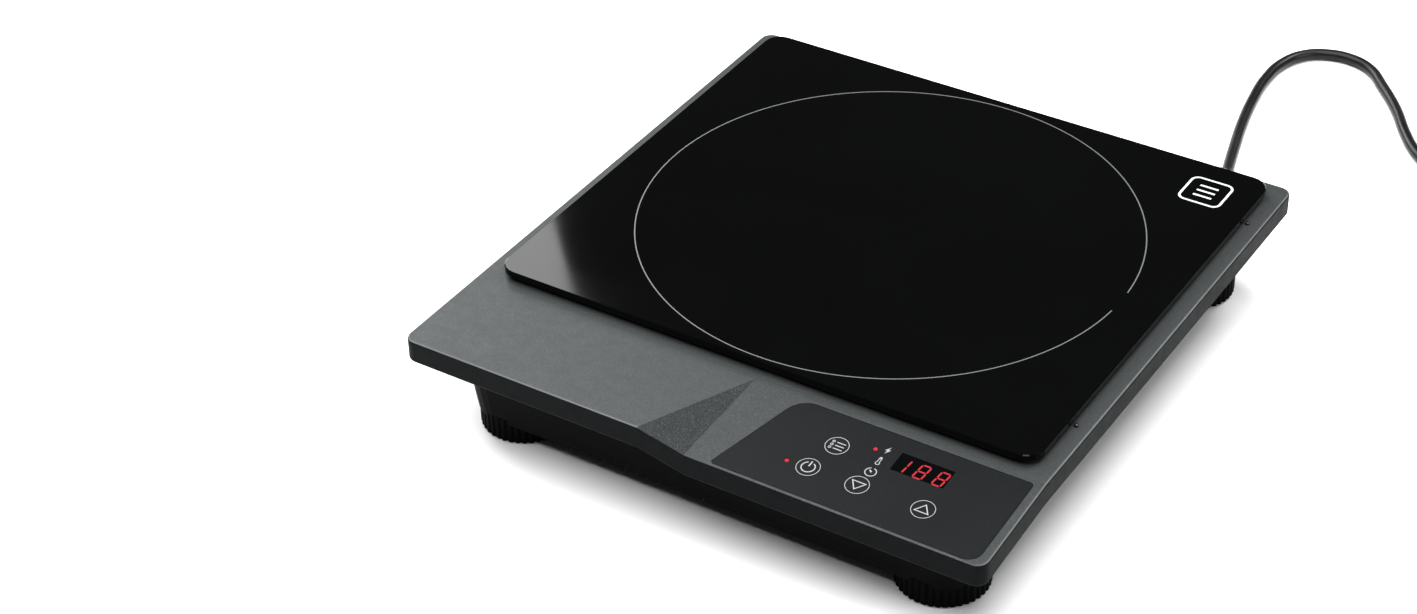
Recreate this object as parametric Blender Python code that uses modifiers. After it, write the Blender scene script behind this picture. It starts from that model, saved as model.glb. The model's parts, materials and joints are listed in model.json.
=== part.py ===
"""Portable induction hob, modelled as separate closed solids in metres with +Z up.

The origin is on the floor under the middle of the housing. +Y points to the rear, where
the mains cord leaves, and the tilted control panel is at the front right (+X, -Y).
"""
import math

import bmesh
import bpy
from mathutils import Matrix, Vector

GAP = 0.0003

# Top cover: a pressed shell with a flat top and a control zone tilted down to the front
COVER_WIDTH = 0.330
COVER_DEPTH = 0.353
COVER_TOP = 0.061
COVER_CORNER = 0.0065
COVER_WALL = 0.0025
SKIRT_HEIGHT = 0.0128
EDGE_BEVEL = 0.0011
PANEL_ANGLE = math.radians(5.5)
CREASE_Y = -0.1138
FACET_FRONT_X = (-0.024, 0.003)
FACET_REAR_X = (0.0052, 0.0052)
OPENING = (-0.126, 0.126, -0.084, 0.144)

# Glass plate on its bonding strip
GLASS = (-0.1555, 0.1555, -0.1077, 0.1686)
GLASS_THICKNESS = 0.004
GLASS_CORNER = 0.010
GLASS_BOTTOM = COVER_TOP + 0.0022
SEAL_INSET = 0.0022
SEAL_WIDTH = 0.012

# Control panel; corners and centres are seen from above, as (x, y)
FOIL_CORNERS = ((0.0168, -0.1746), (0.1597, -0.1746), (0.1597, -0.1164), (0.0330, -0.1164))
FOIL_RADII = (0.0015, 0.007, 0.002, 0.012)
FOIL_THICKNESS = 0.0006
KEYS = {
    "key_power": (0.0601, -0.1557),
    "key_function": (0.0649, -0.1367),
    "key_down": (0.0867, -0.1554),
    "key_up": (0.1220, -0.1552),
}
KEY_RADIUS = 0.0061
KEY_TRAVEL = 0.0004
LEDS = {"led_power": (0.0487, -0.1564), "led_mode": (0.0822, -0.1300)}
LED_RADIUS = 0.0011
WINDOW_CENTRE = (0.1092, -0.1326)
WINDOW_SIZE = (0.028, 0.012)
SWITCH_TOP = -0.0040
BOARD_TOP = -0.0073

# Bottom case: a drafted tray whose wall stops under the cover
TRAY = (-0.1488, 0.1488, -0.1615, 0.1735)
TRAY_BOTTOM = 0.011
TRAY_WALL = 0.0024
TRAY_DRAFT = (0.0050, 0.0022, 0.0045)
TRAY_CORNER = 0.018
TRAY_SIDES = 0.1
TRAY_FLOOR = TRAY_BOTTOM + TRAY_WALL
CASE_SCREWS = ((-0.1335, -0.075), (0.1335, -0.075), (-0.1335, 0.112), (0.1335, 0.112))
BOSS_SPLIT = 0.0202
SLOT_START = -0.0915
SLOT_PITCH = 0.0066
SLOT_COUNT = 15
SLOT_WIDTH = 0.0020
NOTCH_DEPTH = 0.0030
NOTCH_SPREAD = 0.6

# Feet
FOOT_CENTRES = {
    "front_left": (-0.1223, -0.1335),
    "front_right": (0.1223, -0.1335),
    "rear_left": (-0.1223, 0.1490),
    "rear_right": (0.1223, 0.1490),
}
FOOT_RADIUS = 0.0239
FOOT_FLUTES = 40
FOOT_BOTTOM = 0.0008
FOOT_TOP = 0.0145
FOOT_ROOM = 0.0005
PAD_RADIUS = 0.0175
PAD_THICKNESS = 0.0024

# Screws beside the glass
GLASS_SCREW_X = 0.1570
GLASS_SCREW_Y = (-0.067, 0.134)

# Cooking zone
ZONE_CENTRE = (0.0, 0.029)
COIL_RADII = (0.025, 0.100)
POST_RING = 0.085

# Cooling fan
FAN_CENTRE = (-0.054, 0.098)
FAN_SIZE = 0.080
FAN_BOTTOM = 0.0138
FAN_HEIGHT = 0.020
FAN_BORE = 0.0375

# Power electronics
BOARD = (-0.002, 0.130, -0.060, 0.092)
BOARD_BOTTOM = 0.019
BOARD_THICKNESS = 0.0016
HEATSINK = (-0.075, -0.010, -0.040, 0.045)
HEATSINK_BOTTOM = 0.0137
HEATSINK_HEIGHT = 0.024

# Mains cord, 3-core, round
CORD_DIAMETER = 0.0068
CORD_EXIT = (0.108, 0.1965, 0.0335)
FLOOR_LINE = 0.0036
CORD_ROUTE = (
    CORD_EXIT,
    (0.1080, 0.2015, 0.0335),
    (0.1077, 0.2110, 0.0321),
    (0.1060, 0.2210, 0.0274),
    (0.1032, 0.2325, 0.0185),
    (0.1001, 0.2430, 0.0101),
    (0.0969, 0.2530, 0.0053),
    (0.0937, 0.2635, 0.0040),
    (0.0871, 0.2876, FLOOR_LINE),
    (0.0809, 0.3122, FLOOR_LINE),
    (0.0755, 0.3405, FLOOR_LINE),
    (0.0728, 0.3640, FLOOR_LINE),
    (0.0743, 0.3869, FLOOR_LINE),
    (0.0819, 0.4028, FLOOR_LINE),
    (0.0937, 0.4108, FLOOR_LINE),
    (0.1069, 0.4128, FLOOR_LINE),
    (0.1213, 0.4081, FLOOR_LINE),
    (0.1371, 0.3916, FLOOR_LINE),
    (0.1532, 0.3717, FLOOR_LINE),
    (0.1677, 0.3493, FLOOR_LINE),
    (0.1786, 0.3350, FLOOR_LINE),
    (0.1908, 0.3234, FLOOR_LINE),
)
COIL_CENTRE = (0.240, 0.330)
COIL_MIDDLE = 0.039
COIL_BOTTOM = 0.0008
TIE_THICKNESS = 0.0005
TIE_WIDTH = 0.006
PLUG_AXIS = (0.2876, 0.0195)
PLUG_START = 0.284
TAIL_ROUTE = (
    (0.2085, 0.3016, 0.0183),
    (0.2175, 0.2940, 0.0183),
    (0.2283, 0.2892, 0.0183),
    (0.2400, 0.2876, 0.0183),
    (0.2540, 0.2876, 0.0187),
    (0.2680, 0.2876, 0.0193),
    (0.2790, 0.2876, 0.0195),
    (0.2834, 0.2876, 0.0195),
)


# ---------------------------------------------------------------- scene and materials

def clear_scene():
    for obj in list(bpy.data.objects):
        bpy.data.objects.remove(obj, do_unlink=True)


def new_collection(name):
    collection = bpy.data.collections.new(name)
    bpy.context.scene.collection.children.link(collection)
    return collection


def material(name, colour, roughness, metallic=0.0):
    """One Principled material, made once and shared by name."""
    found = bpy.data.materials.get(name)
    if found:
        return found
    made = bpy.data.materials.new(name)
    made.use_nodes = True
    shader = made.node_tree.nodes["Principled BSDF"]
    shader.inputs["Base Color"].default_value = (*colour, 1.0)
    shader.inputs["Roughness"].default_value = roughness
    shader.inputs["Metallic"].default_value = metallic
    return made


def black_plastic():
    return material("black_plastic", (0.012, 0.012, 0.013), 0.45)


def black_rubber():
    return material("black_rubber", (0.02, 0.02, 0.02), 0.8)


def steel():
    return material("steel", (0.6, 0.6, 0.62), 0.35, 1.0)


def aluminium():
    return material("aluminium", (0.75, 0.76, 0.78), 0.4, 1.0)


def circuit_board():
    return material("circuit_board", (0.05, 0.16, 0.07), 0.5)


def black_oxide():
    return material("black_oxide", (0.03, 0.03, 0.03), 0.35, 0.8)


# ---------------------------------------------------------------- building helpers

def finish_object(obj, finish, place=(0, 0, 0), parent=None):
    """Put an object in the parts collection, or with the cutters when it has no finish."""
    obj.location = place
    obj.parent = parent
    if finish:
        obj.data.materials.clear()
        obj.data.materials.append(finish)
        PARTS.objects.link(obj)
        return obj
    obj.hide_render = True
    obj.display_type = 'WIRE'
    CUTTERS.objects.link(obj)
    return obj


def face_outward(shape):
    """Make all faces of one closed body point out of it."""
    bmesh.ops.recalc_face_normals(shape, faces=shape.faces)
    if shape.calc_volume(signed=True) < 0:
        bmesh.ops.reverse_faces(shape, faces=shape.faces)


def from_bmesh(name, shape, finish=None, place=(0, 0, 0), parent=None):
    mesh = bpy.data.meshes.new(name)
    shape.to_mesh(mesh)
    shape.free()
    mesh.shade_smooth()
    mesh.set_sharp_from_angle(angle=math.radians(35))
    return finish_object(bpy.data.objects.new(name, mesh), finish, place, parent)


def add_box(shape, low, high):
    low, high = Vector(low), Vector(high)
    size = high - low
    move = Matrix.Translation((low + high) / 2) @ Matrix.Diagonal((*size, 1.0))
    bmesh.ops.create_cube(shape, size=1.0, matrix=move)


def add_cylinder(shape, x, y, bottom, top, radius, sides=24):
    move = Matrix.Translation((x, y, (bottom + top) / 2))
    bmesh.ops.create_cone(shape, cap_ends=True, segments=sides, radius1=radius,
                          radius2=radius, depth=top - bottom, matrix=move)


def boxes(name, corners, finish=None, parent=None):
    """One object of separate boxes, each given by its lowest and highest corner."""
    shape = bmesh.new()
    for low, high in corners:
        add_box(shape, low, high)
    return from_bmesh(name, shape, finish, parent=parent)


def cylinders(name, rows, finish=None, parent=None, sides=24):
    """One object of upright cylinders; a row is x, y, bottom, top and radius."""
    shape = bmesh.new()
    for x, y, bottom, top, radius in rows:
        add_cylinder(shape, x, y, bottom, top, radius, sides)
    return from_bmesh(name, shape, finish, parent=parent)


def arc(centre, radius, start, end, steps):
    """Points on a level arc, both ends included."""
    angles = [start + (end - start) * i / steps for i in range(steps + 1)]
    return [(centre[0] + radius * math.cos(a), centre[1] + radius * math.sin(a)) for a in angles]


def rounded_polygon(corners, radii, steps=5):
    """Round each corner of a convex outline that is given anticlockwise."""
    points = []
    for i, corner in enumerate(corners):
        here = Vector(corner)
        before = (Vector(corners[i - 1]) - here).normalized()
        after = (Vector(corners[(i + 1) % len(corners)]) - here).normalized()
        half = before.angle(after) / 2
        centre = here + (before + after).normalized() * radii[i] / math.sin(half)
        start = math.atan2(before.x, -before.y)
        sweep = math.pi - 2 * half
        points += arc(centre, radii[i], start, start + sweep, steps)
    return points


def rounded_box(limits, radius, grow=0.0, steps=5):
    x0, x1, y0, y1 = limits
    corners = ((x0 - grow, y0 - grow), (x1 + grow, y0 - grow), (x1 + grow, y1 + grow),
               (x0 - grow, y1 + grow))
    return rounded_polygon(corners, [radius + grow] * 4, steps)


def circle(centre, radius, sides=24):
    return arc(centre, radius, 0.0, math.tau * (1 - 1 / sides), sides - 1)


def to_mesh(curve_object):
    """Replace a curve object by a welded mesh object in the same place."""
    bpy.context.view_layer.update()
    graph = bpy.context.evaluated_depsgraph_get()
    mesh = bpy.data.meshes.new_from_object(curve_object.evaluated_get(graph))
    shape = bmesh.new()
    shape.from_mesh(mesh)
    bmesh.ops.remove_doubles(shape, verts=shape.verts, dist=0.00001)
    face_outward(shape)
    shape.to_mesh(mesh)
    shape.free()
    mesh.shade_smooth()
    mesh.set_sharp_from_angle(angle=math.radians(35))
    obj = bpy.data.objects.new(curve_object.name, mesh)
    name = curve_object.name
    bpy.data.objects.remove(curve_object, do_unlink=True)
    obj.name = name
    return obj


def plate(name, outlines, bottom, top, finish=None, parent=None):
    """A flat plate from a closed outline and the outlines of its holes."""
    curve = bpy.data.curves.new(name, 'CURVE')
    curve.dimensions = '2D'
    curve.fill_mode = 'BOTH'
    curve.extrude = (top - bottom) / 2
    for outline in outlines:
        spline = curve.splines.new('POLY')
        spline.points.add(len(outline) - 1)
        spline.use_cyclic_u = True
        for point, (x, y) in zip(spline.points, outline):
            point.co = (x, y, 0, 1)
    flat = bpy.data.objects.new(name, curve)
    bpy.context.scene.collection.objects.link(flat)
    obj = to_mesh(flat)
    obj.data.transform(Matrix.Translation((0, 0, (bottom + top) / 2)))
    return finish_object(obj, finish, parent=parent)


def turned(name, profile, steps, finish=None, place=(0, 0, 0), closed=False):
    """A solid of revolution about Z; the profile runs down its outer side at +X."""
    shape = bmesh.new()
    verts = [shape.verts.new((radius, 0.0, height)) for radius, height in profile]
    for first, second in zip(verts, verts[1:]):
        shape.edges.new((first, second))
    if closed:
        shape.edges.new((verts[-1], verts[0]))
    mesh = bpy.data.meshes.new(name)
    shape.to_mesh(mesh)
    shape.free()
    obj = finish_object(bpy.data.objects.new(name, mesh), finish, place)
    screw = obj.modifiers.new("Turn", 'SCREW')
    screw.steps = steps
    screw.render_steps = steps
    screw.use_merge_vertices = True
    screw.merge_threshold = 0.00001
    return obj


def combine(obj, tool, operation='DIFFERENCE'):
    """Cut or join an object with a tool from the cutters collection."""
    boolean = obj.modifiers.new(tool.name, 'BOOLEAN')
    boolean.operation = operation
    boolean.solver = 'EXACT'
    boolean.object = tool


def bevel(obj, width, segments=2, angle=50):
    edge = obj.modifiers.new("Round edges", 'BEVEL')
    edge.width = width
    edge.segments = segments
    edge.limit_method = 'ANGLE'
    edge.angle_limit = math.radians(angle)
    edge.use_clamp_overlap = True


def smooth_route(points, spacing):
    """Evenly spaced points on a smooth curve through the given points."""
    ends = [points[0], *points, points[-1]]
    fine = []
    for a, b, c, d in zip(ends, ends[1:], ends[2:], ends[3:]):
        a, b, c, d = (Vector(p) for p in (a, b, c, d))
        for i in range(20):
            t = i / 20
            fine.append(0.5 * (2 * b + (c - a) * t + (2 * a - 5 * b + 4 * c - d) * t ** 2
                               + (3 * b - a - 3 * c + d) * t ** 3))
    fine.append(Vector(points[-1]))
    length = sum((q - p).length for p, q in zip(fine, fine[1:]))
    count = max(2, round(length / spacing))
    return [fine[round(i * (len(fine) - 1) / count)] for i in range(count + 1)]


def tube(name, points, radius, finish, bevel_resolution=2):
    """A round tube with filled caps along a polyline."""
    curve = bpy.data.curves.new(name, 'CURVE')
    curve.dimensions = '3D'
    curve.bevel_depth = radius
    curve.bevel_resolution = bevel_resolution
    curve.use_fill_caps = True
    spline = curve.splines.new('POLY')
    spline.points.add(len(points) - 1)
    for point, place in zip(spline.points, points):
        point.co = (*place, 1)
    return finish_object(bpy.data.objects.new(name, curve), finish)


# ---------------------------------------------------------------- shared surfaces

def facet_x(y):
    """Left and right border of the slanted facet beside the control zone, at depth y."""
    front = -COVER_DEPTH / 2
    along = (y - front) / (CREASE_Y - front)
    return [a + (b - a) * along for a, b in zip(FACET_FRONT_X, FACET_REAR_X)]


def cover_height(x, y):
    """Height of the cover's upper face: flat, then a facet, then the tilted zone."""
    drop = max(0.0, CREASE_Y - y) * math.tan(PANEL_ANGLE)
    if drop == 0.0:
        return COVER_TOP
    left, right = facet_x(y)
    return COVER_TOP - drop * min(1.0, max(0.0, (x - left) / (right - left)))


def split_front(shape, origin, direction):
    """Cut the faces in front of the crease along an upright plane."""
    faces = [f for f in shape.faces if f.calc_center_median().y < CREASE_Y]
    parts = faces + list({e for f in faces for e in f.edges})
    parts += list({v for f in faces for v in f.verts})
    normal = Vector((direction[1], -direction[0], 0.0))
    bmesh.ops.bisect_plane(shape, geom=parts, dist=0.000001, plane_co=origin, plane_no=normal)


def contoured_block(name, limits, radius, top_drop, bottom_height, inset=(0.0, 0.0, 0.0),
                    finish=None):
    """A block whose top follows the cover's upper face, lowered by top_drop.

    bottom_height gives the height of each bottom corner from its place in the outline,
    and inset draws the bottom outline in for draft, at the sides, rear and front; points further than TRAY_SIDES from
    the middle belong to a side wall.
    """
    shape = bmesh.new()
    outline = rounded_box(limits, radius, steps=6)
    face = shape.faces.new([shape.verts.new((x, y, 0.0)) for x, y in outline])
    bmesh.ops.bisect_plane(shape, geom=[face, *face.edges, *face.verts], dist=0.000001,
                           plane_co=(0, CREASE_Y, 0), plane_no=(0, 1, 0))
    front = -COVER_DEPTH / 2
    for share in (0.0, 1.0):
        near = facet_x(front)[0] * (1 - share) + facet_x(front)[1] * share
        far = facet_x(CREASE_Y)[0] * (1 - share) + facet_x(CREASE_Y)[1] * share
        split_front(shape, (near, front, 0.0), (far - near, CREASE_Y - front))
    for v in shape.verts:
        v.co.z = cover_height(v.co.x, v.co.y) - top_drop
    lower = bmesh.ops.extrude_face_region(shape, geom=list(shape.faces))["geom"]
    middle = Vector(((limits[0] + limits[1]) / 2, (limits[2] + limits[3]) / 2, 0.0))
    for v in (g for g in lower if isinstance(g, bmesh.types.BMVert)):
        v.co.z = bottom_height(v.co.x, v.co.y)
        for axis in (0, 1):
            away = v.co[axis] - middle[axis]
            if abs(away) > TRAY_SIDES:
                draft = inset[2] if axis == 1 and away < 0 else inset[axis]
                v.co[axis] -= math.copysign(draft, away)
    bmesh.ops.dissolve_limit(shape, angle_limit=math.radians(0.2), verts=shape.verts,
                             edges=shape.edges)
    face_outward(shape)
    return from_bmesh(name, shape, finish)


def panel_point(x, y, normal=0.0):
    """A point given from above, as the panel frame's own coordinates."""
    return (x, (y - CREASE_Y) / math.cos(PANEL_ANGLE), normal)


def panel_outline(points):
    return [panel_point(x, y)[:2] for x, y in points]


def make_panel_frame():
    """An empty on the crease whose Z axis is the panel's outward normal."""
    frame = bpy.data.objects.new("panel_frame", None)
    frame.location = (0, CREASE_Y, COVER_TOP)
    frame.rotation_euler = (PANEL_ANGLE, 0, 0)
    PARTS.objects.link(frame)
    return frame


# ---------------------------------------------------------------- housing

def make_top_cover(frame):
    finish = material("sparkle_paint", (0.10, 0.105, 0.105), 0.45, 0.5)
    half_x, half_y = COVER_WIDTH / 2, COVER_DEPTH / 2
    outside = (-half_x, half_x, -half_y, half_y)
    inside = (-half_x + COVER_WALL, half_x - COVER_WALL,
              -half_y + COVER_WALL, half_y - COVER_WALL)

    def skirt_edge(x, y):
        return cover_height(x, y) - SKIRT_HEIGHT

    cover = contoured_block("top_cover", outside, COVER_CORNER, 0.0, skirt_edge, finish=finish)
    bevel(cover, EDGE_BEVEL)
    hollow = contoured_block("cover_hollow", inside, COVER_CORNER - COVER_WALL, COVER_WALL,
                             lambda x, y: 0.03)
    combine(cover, hollow)
    bosses = [(x, y, BOSS_SPLIT + GAP, COVER_TOP - 0.001, 0.004) for x, y in CASE_SCREWS]
    combine(cover, cylinders("cover_bosses", bosses, sides=16), 'UNION')
    pillars = []
    for x, y in ((0.044, -0.126), (0.1325, -0.146), (0.075, -0.121)):
        u, v, _ = panel_point(x, y)
        pillars.append((u, v, BOARD_TOP + GAP, -0.0015, 0.002))
    combine(cover, cylinders("board_pillars", pillars, parent=frame, sides=12), 'UNION')
    opening = [rounded_box(OPENING, 0.012)]
    combine(cover, plate("glass_opening", opening, COVER_TOP - 0.01, COVER_TOP + 0.01))
    combine(cover, plate("foil_pocket", [foil_outline(GAP)], -FOIL_THICKNESS - GAP, 0.003,
                         parent=frame))
    holes = [(*panel_point(x, y)[:2], -0.006, 0.003, KEY_RADIUS + 0.0006)
             for x, y in KEYS.values()]
    combine(cover, cylinders("key_holes", holes, parent=frame))
    holes = [(*panel_point(x, y)[:2], -0.006, 0.003, LED_RADIUS + 0.0005)
             for x, y in LEDS.values()]
    combine(cover, cylinders("led_holes", holes, parent=frame, sides=12))
    combine(cover, plate("display_hole", [window_outline(-0.0015)], -0.006, 0.003,
                         parent=frame))
    holes = [(side * GLASS_SCREW_X, y, 0.055, 0.065, 0.0011)
             for side in (-1, 1) for y in GLASS_SCREW_Y]
    holes += [(x, y, 0.018, 0.034, 0.0016) for x, y in CASE_SCREWS]
    combine(cover, cylinders("cover_screw_holes", holes, sides=12))


def make_glass():
    finish = material("black_glass", (0.006, 0.006, 0.007), 0.06)
    top = GLASS_BOTTOM + GLASS_THICKNESS
    glass = plate("glass_plate", [rounded_box(GLASS, GLASS_CORNER)], GLASS_BOTTOM, top, finish)
    bevel(glass, 0.0006, 1)
    outer = rounded_box(GLASS, GLASS_CORNER, -SEAL_INSET)
    inner = rounded_box(GLASS, 0.016, -SEAL_INSET - SEAL_WIDTH)
    plate("glass_seal", [outer, inner], COVER_TOP + GAP, GLASS_BOTTOM - GAP, black_rubber())


def make_glass_screws():
    sides = {"left": -1, "right": 1}
    ends = {"front": GLASS_SCREW_Y[0], "rear": GLASS_SCREW_Y[1]}
    for side, sign in sides.items():
        for end, y in ends.items():
            profile = ((0.0, 0.0012), (0.0008, 0.0011), (0.0012, 0.0007), (0.0013, 0.0),
                       (0.0008, 0.0), (0.0008, -0.0040), (0.0, -0.0046))
            turned("glass_screw_%s_%s" % (end, side), profile, 12, black_oxide(),
                   (sign * GLASS_SCREW_X, y, COVER_TOP + GAP))


def make_bottom_case():
    block = contoured_block("bottom_case", TRAY, TRAY_CORNER, COVER_WALL + GAP,
                            lambda x, y: TRAY_BOTTOM, TRAY_DRAFT, black_plastic())
    x0, x1, y0, y1 = TRAY
    room = (x0 + TRAY_WALL, x1 - TRAY_WALL, y0 + TRAY_WALL, y1 - TRAY_WALL)
    hollow = contoured_block("tray_hollow", room, TRAY_CORNER - TRAY_WALL, -0.004,
                             lambda x, y: TRAY_FLOOR, TRAY_DRAFT)
    sockets = [(x, y, 0.008, FOOT_TOP + TRAY_WALL, FOOT_RADIUS + FOOT_ROOM + 0.002)
               for x, y in FOOT_CENTRES.values()]
    combine(hollow, cylinders("foot_sockets", sockets, sides=48))
    bevel(block, 0.0012, 1, 70)
    combine(block, hollow)
    combine(block, cylinders("foot_recesses", foot_recesses(), sides=60))
    posts = [(x, y, TRAY_BOTTOM + 0.001, BOSS_SPLIT, 0.0048) for x, y in CASE_SCREWS]
    posts += [(x, y, TRAY_BOTTOM + 0.001, BOARD_BOTTOM - GAP, 0.003)
              for x in (BOARD[0] + 0.005, BOARD[1] - 0.005)
              for y in (BOARD[2] + 0.005, BOARD[3] - 0.005)]
    combine(block, cylinders("tray_posts", posts, sides=16), 'UNION')
    holes = [(x, y, 0.008, 0.024, 0.0017) for x, y in CASE_SCREWS]
    combine(block, cylinders("screw_holes", holes, sides=12))
    heads = [(x, y, 0.008, TRAY_BOTTOM + 0.0024, 0.0036) for x, y in CASE_SCREWS]
    combine(block, cylinders("screw_recesses", heads, sides=16))
    combine(block, boxes("floor_slots", front_slots(-0.151, -0.108, TRAY_FLOOR + 0.001)))
    combine(block, edge_notches())
    relief = [((0.034, -0.1592, 0.0440), (0.146, -0.1500, 0.0620))]
    combine(block, boxes("board_relief", relief))
    combine(block, boxes("key_relief", [((0.0335, -0.1650, 0.0515), (0.1465, -0.1540, 0.0630))]))
    combine(block, boxes("fan_grille", fan_slots()))
    combine(block, boxes("rear_vents", rear_slots()))
    gland = cylinders("gland_hole", [(CORD_EXIT[0], -CORD_EXIT[2], 0.160, 0.180, 0.0053)])
    gland.data.transform(Matrix.Rotation(-math.pi / 2, 4, 'X'))
    combine(block, gland)


def foot_recesses():
    """Round pockets that take the feet, up to just above their tops."""
    return [(x, y, 0.005, FOOT_TOP + GAP, FOOT_RADIUS + FOOT_ROOM)
            for x, y in FOOT_CENTRES.values()]


def front_slots(y0, y1, top):
    """Intake slots across the front left of the tray's floor."""
    half = SLOT_WIDTH / 2
    return [((x - half, y0, 0.008), (x + half, y1, top)) for x in slot_centres()]


def slot_centres():
    return [SLOT_START + SLOT_PITCH * i for i in range(SLOT_COUNT)]


def edge_notches():
    """Notches that carry the intake slots through the tray's lower front edge."""
    shape = bmesh.new()
    side = NOTCH_DEPTH * math.sqrt(2)
    for x in slot_centres():
        place = Matrix.Translation((x, -0.158, TRAY_BOTTOM))
        place = place @ Matrix.Diagonal((NOTCH_SPREAD, 1.0, 1.0, 1.0))
        place = place @ Matrix.Rotation(math.pi / 4, 4, 'Y')
        size = Matrix.Diagonal((side, 0.018, side, 1.0))
        bmesh.ops.create_cube(shape, size=1.0, matrix=place @ size)
    return from_bmesh("edge_notches", shape)


def fan_slots():
    """Paired slots in the floor below the fan, as long as the fan's circle allows."""
    pitch, width, radius = 0.0065, 0.0032, 0.036
    rows = []
    for i in range(-5, 6):
        x = FAN_CENTRE[0] + pitch * i
        half = math.sqrt(radius ** 2 - (pitch * i) ** 2)
        for side in (-1, 1):
            y = sorted((FAN_CENTRE[1] + side * 0.002, FAN_CENTRE[1] + side * half))
            rows.append(((x - width / 2, y[0], 0.008), (x + width / 2, y[1], TRAY_FLOOR + 0.001)))
    return rows


def rear_slots():
    """Exhaust slots through the tray's rear wall, behind the fan."""
    count, pitch, width = 12, 0.0070, 0.0030
    starts = [FAN_CENTRE[0] - FAN_SIZE / 2 + pitch * i for i in range(count)]
    return [((x, 0.165, 0.022), (x + width, 0.180, 0.044)) for x in starts]


def make_case_screws():
    names = ("front_left", "front_right", "rear_left", "rear_right")
    for name, (x, y) in zip(names, CASE_SCREWS):
        profile = ((0.0, 0.0180), (0.0008, 0.0172), (0.0012, 0.0160), (0.0012, 0.0018),
                   (0.0031, 0.0018), (0.0031, 0.0004), (0.0026, 0.0), (0.0, 0.0))
        turned("case_screw_" + name, profile, 16, steel(), (x, y, TRAY_BOTTOM + 0.0002))


def make_feet():
    """Fluted feet and the flat rubber pads set into their undersides."""
    sides = FOOT_FLUTES * 3
    for name, (x, y) in FOOT_CENTRES.items():
        ring = []
        for i in range(sides):
            radius = FOOT_RADIUS - (0.0009 if i % 3 == 0 else 0.0)
            angle = math.tau * i / sides
            ring.append((x + radius * math.cos(angle), y + radius * math.sin(angle)))
        foot = plate("foot_" + name, [ring], FOOT_BOTTOM, FOOT_TOP, black_plastic())
        recess = [(x, y, -0.001, PAD_THICKNESS + GAP, PAD_RADIUS + GAP)]
        combine(foot, cylinders("pad_recess_" + name, recess, sides=32))
        pad = cylinders("foot_pad_" + name, [(x, y, 0.0, PAD_THICKNESS, PAD_RADIUS)],
                        black_rubber(), sides=32)
        bevel(pad, 0.0004, 1)


# ---------------------------------------------------------------- control panel

def foil_outline(grow=0.0):
    """The control foil's outline in the panel frame, or a slightly larger one."""
    corners = []
    count = len(FOIL_CORNERS)
    for i, corner in enumerate(FOIL_CORNERS):
        here = Vector(corner)
        before = (here - Vector(FOIL_CORNERS[i - 1])).normalized()
        after = (Vector(FOIL_CORNERS[(i + 1) % count]) - here).normalized()
        stretch = grow / math.sin(before.angle(-after)) if grow else 0.0
        corners.append(here + (before - after) * stretch)
    radii = [r + grow for r in FOIL_RADII]
    return panel_outline(rounded_polygon(corners, radii, 5))


def window_outline(grow=0.0):
    x, y = WINDOW_CENTRE
    w, h = WINDOW_SIZE[0] / 2 + grow, WINDOW_SIZE[1] / 2 + grow
    return panel_outline([(x - w, y - h), (x + w, y - h), (x + w, y + h), (x - w, y + h)])


def make_foil(frame):
    finish = material("control_foil", (0.025, 0.027, 0.028), 0.35)
    outlines = [foil_outline(), window_outline(GAP)]
    outlines += [circle(panel_point(x, y), KEY_RADIUS + GAP) for x, y in KEYS.values()]
    outlines += [circle(panel_point(x, y), LED_RADIUS + GAP, 12) for x, y in LEDS.values()]
    plate("control_foil", outlines, -FOIL_THICKNESS, 0.0, finish, frame)
    lens = material("display_lens", (0.01, 0.004, 0.004), 0.1)
    plate("display_lens", [window_outline()], -FOIL_THICKNESS, 0.0, lens, frame)


def make_keys(frame):
    """Domed key faces with a stem that reaches down to the switch."""
    for name, (x, y) in KEYS.items():
        stem_end = SWITCH_TOP + KEY_TRAVEL + GAP
        profile = ((0.0, 0.0), (KEY_RADIUS, 0.0), (KEY_RADIUS, -FOIL_THICKNESS),
                   (0.0018, -FOIL_THICKNESS - 0.0003), (0.0015, stem_end), (0.0, stem_end))
        finish = material("key_face", (0.03, 0.032, 0.033), 0.35)
        key = turned(name, profile, 24, finish, panel_point(x, y))
        key.parent = frame


def make_leds(frame):
    finish = material("red_lens", (0.6, 0.02, 0.01), 0.2)
    for name, (x, y) in LEDS.items():
        u, v, _ = panel_point(x, y)
        rows = [(u, v, BOARD_TOP + GAP, 0.0, LED_RADIUS)]
        cylinders(name, rows, finish, frame, sides=12)


def make_control_board(frame):
    x0, y0, _ = panel_point(0.038, -0.1585)
    x1, y1, _ = panel_point(0.136, -0.1175)
    boxes("control_board", [((x0, y0, BOARD_TOP - 0.0012), (x1, y1, BOARD_TOP))],
          circuit_board(), frame)
    x, y, _ = panel_point(*WINDOW_CENTRE)
    module = material("display_module", (0.02, 0.02, 0.02), 0.5)
    boxes("display_module", [((x - 0.0115, y - 0.0041, BOARD_TOP + GAP),
                              (x + 0.0115, y + 0.0041, -0.0012))], module, frame)
    for name, (kx, ky) in KEYS.items():
        u, v, _ = panel_point(kx, ky)
        half = 0.0024
        switch = boxes(name.replace("key", "switch"),
                       [((u - half, v - half, BOARD_TOP + GAP), (u + half, v + half, -0.0046))],
                       material("switch_body", (0.02, 0.02, 0.02), 0.4), frame)
        button = [(u, v, -0.0050, SWITCH_TOP, 0.0015)]
        stud = cylinders("stud_" + name, button, parent=frame, sides=12)
        combine(switch, stud, 'UNION')


# ---------------------------------------------------------------- cooking zone

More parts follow.
